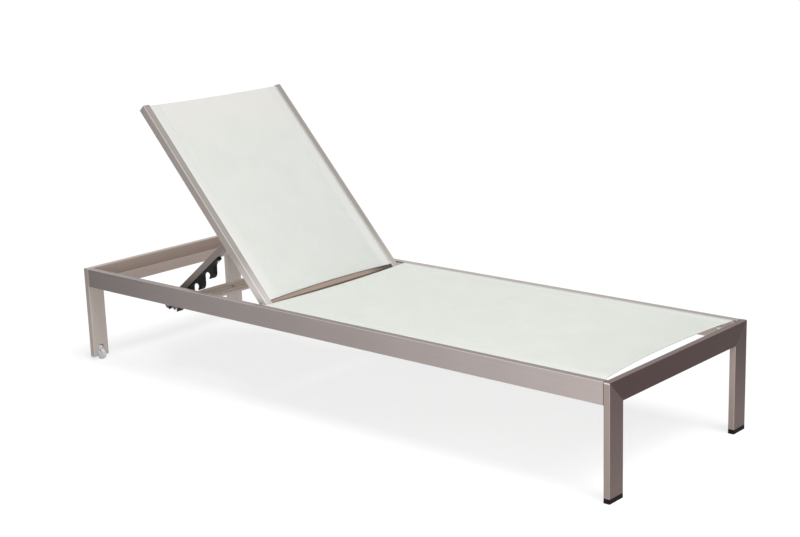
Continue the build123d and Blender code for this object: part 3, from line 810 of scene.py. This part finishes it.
def add_floor():
    """A pale floor that keeps the shadow and shows white beyond it."""
    select_only()
    bpy.ops.mesh.primitive_plane_add(size=120, location=(0, 0, 0))
    floor = bpy.context.object
    floor.name = "floor"
    material = bpy.data.materials.new("pale_floor")
    material.use_nodes = True
    tree = material.node_tree
    tree.nodes.remove(tree.nodes["Principled BSDF"])
    bounce = tree.nodes.new("ShaderNodeBsdfDiffuse")
    bounce.inputs["Color"].default_value = (0.5, 0.5, 0.5, 1)
    shaded = tree.nodes.new("ShaderNodeBsdfDiffuse")
    shaded.inputs["Color"].default_value = (0.28, 0.28, 0.28, 1)
    glow = tree.nodes.new("ShaderNodeEmission")
    glow.inputs["Color"].default_value = (0.74, 0.74, 0.74, 1)
    seen = tree.nodes.new("ShaderNodeAddShader")
    tree.links.new(shaded.outputs[0], seen.inputs[0])
    tree.links.new(glow.outputs[0], seen.inputs[1])
    show_directly(tree, seen, bounce, "Material Output")
    floor.data.materials.append(material)


def add_world():
    world = bpy.data.worlds.new("studio")
    bpy.context.scene.world = world
    world.use_nodes = True
    tree = world.node_tree
    soft = tree.nodes["Background"]
    soft.inputs["Color"].default_value = (1, 1, 1, 1)
    soft.inputs["Strength"].default_value = 0.36
    white = tree.nodes.new("ShaderNodeBackground")
    white.inputs["Color"].default_value = (1, 1, 1, 1)
    white.inputs["Strength"].default_value = 1.0
    show_directly(tree, white, soft, "World Output")


def add_lamp(name, kind, place, towards, power):
    """A lamp that stands at place and shines from the side named by towards."""
    data = bpy.data.lights.new(name, kind)
    data.energy = power
    lamp = bpy.data.objects.new(name, data)
    lamp.location = place
    lamp.rotation_mode = "QUATERNION"
    lamp.rotation_quaternion = Vector(towards).to_track_quat("Z", "Y")
    bpy.context.scene.collection.objects.link(lamp)
    return lamp


def add_lamps():
    key = add_lamp("key", "SUN", (0, 0, 0), (0.38, -0.04, 0.9), 2.35)
    key.data.angle = radians(30)
    place, aim = Vector((1.15, -1.6, 0.5)), Vector((0.8, 0, 0.22))
    panel = add_lamp("side_panel", "AREA", place, place - aim, 24)
    panel.data.shape = "RECTANGLE"
    panel.data.size, panel.data.size_y = 1.2, 0.8
    panel.visible_camera = False
    panel.visible_transmission = False


# The lounger

add_camera()
add_floor()
add_world()
add_lamps()

leg_metal, clear, black = dress_nodes()
thread = hem_thread()

seat_half = RAIL_INNER + GRIP
seat_hems = ((-0.1887, -0.174), (0.95, 0.929))
# The seat cloth, with painted shade towards its foot end
seat_cloth = woven_sling("seat_cloth", seat_half, low=colour(225, 228, 221),
                         high=colour(234, 236, 230), hem_tone=colour(213, 214, 210),
                         ends=[(1.13, 0.86, 0.26, colour(196, 198, 194))])
seat = sling("seat_sling_cloth", "frame", "seat_sling", on_seat, seat_half, *seat_hems, SEAT_SAG,
             seat_cloth)
seat_stitches = hem_stitching("seat_hem_stitching", "frame", on_seat, seat_half, *seat_hems,
                              SEAT_SAG, thread)

back_half = STILE_INNER + GRIP
back_hems = ((0.01, 0.017), (STILE_LENGTH - 0.003, STILE_LENGTH - 0.006))
# The back cloth is the seat's cloth in darker tones, as painted shade, with painted shade towards
# its foot and painted light, a little pinker, towards its top
back_cloth = woven_sling("back_cloth", back_half, low=colour(214, 216, 211),
                         high=colour(224, 225, 221), hem_tone=colour(202, 202, 199),
                         ends=[(0.03, 0.52, 0.36, colour(184, 186, 182)),
                               (0.69, 0.54, 0.6, colour(234, 227, 225))])
back = sling("back_sling_cloth", "backrest", "back_sling", on_back, back_half, *back_hems,
             BACK_SAG, back_cloth)
back_stitches = hem_stitching("back_hem_stitching", "backrest", on_back, back_half, *back_hems,
                              BACK_SAG, thread)

wheels(clear)
bolt_sockets(black)
wheel_slots(leg_metal, black)

bpy.context.scene.view_settings.view_transform = "Standard"
bpy.context.view_layer.update()
